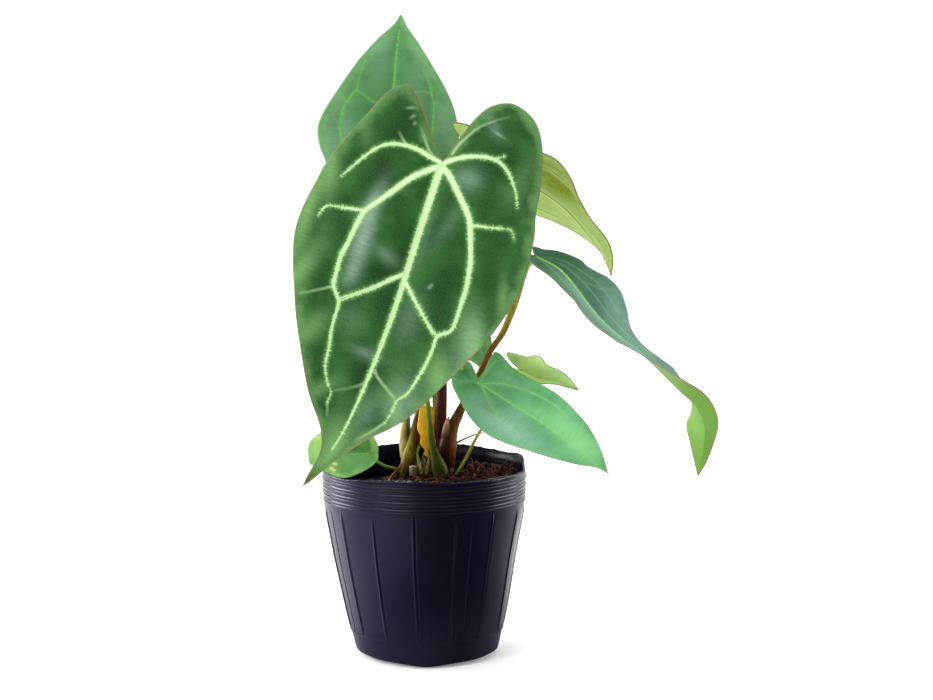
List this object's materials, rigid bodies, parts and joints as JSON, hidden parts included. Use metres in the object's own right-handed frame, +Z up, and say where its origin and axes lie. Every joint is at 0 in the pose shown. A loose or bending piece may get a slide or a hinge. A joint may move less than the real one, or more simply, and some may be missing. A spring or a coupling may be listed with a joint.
{
  "type": "potted anthurium hybrid",
  "caption": "Aroid house plant with heart-shaped velvety leaves on slender upright stalks, growing in bark and coir in a tapered flexible nursery pot.",
  "frame": {"origin": "centre of the pot's flat underside", "axes": "+Z up through the pot, +X to the right of the largest leaf's face, -Y the way that leaf looks"},
  "size_m": [0.2459, 0.1452, 0.3791],
  "materials": {
    "pot": "thin flexible black plastic, slightly scuffed",
    "soil": "moist coir and bark chips, rough",
    "crown": "short woody stem, satin",
    "leaf_deep": "deep green velvet with pale veins",
    "leaf_mid": "mid green, satin",
    "leaf_olive": "yellow-green underside, satin",
    "leaf_young": "young pale green, glossy",
    "stalk_olive": "olive-tan skin, satin",
    "stalk_red": "dark red-brown skin, satin",
    "stalk_green": "green skin, satin",
    "papery": "dry yellow-orange scale leaf, matt",
    "grey": "dead grey stub, rough",
    "root": "pale root, matt",
    "twig": "dark dry twig, rough"
  },
  "bodies": {
    "root": {"pot": "pot", "soil": "soil", "crown_left": "crown", "crown_right": "crown", "leaf_a": "leaf_deep", "leaf_b": "leaf_mid", "leaf_c": "leaf_olive", "leaf_d": "leaf_mid", "leaf_e": "leaf_mid", "leaf_f": "leaf_young", "leaf_g": "leaf_mid", "leaf_h": "leaf_mid", "sheath_papery": "papery", "petiole_a": "stalk_red", "petiole_b": "stalk_olive", "petiole_c": "stalk_green", "petiole_d": "stalk_olive", "petiole_e": "stalk_green", "petiole_f": "stalk_green", "petiole_g": "stalk_green", "petiole_h": "stalk_olive", "stub": "grey", "root_pale": "root", "root_cream": "root", "twig_front": "twig", "twig_back": "twig"}
  },
  "joints": []
}
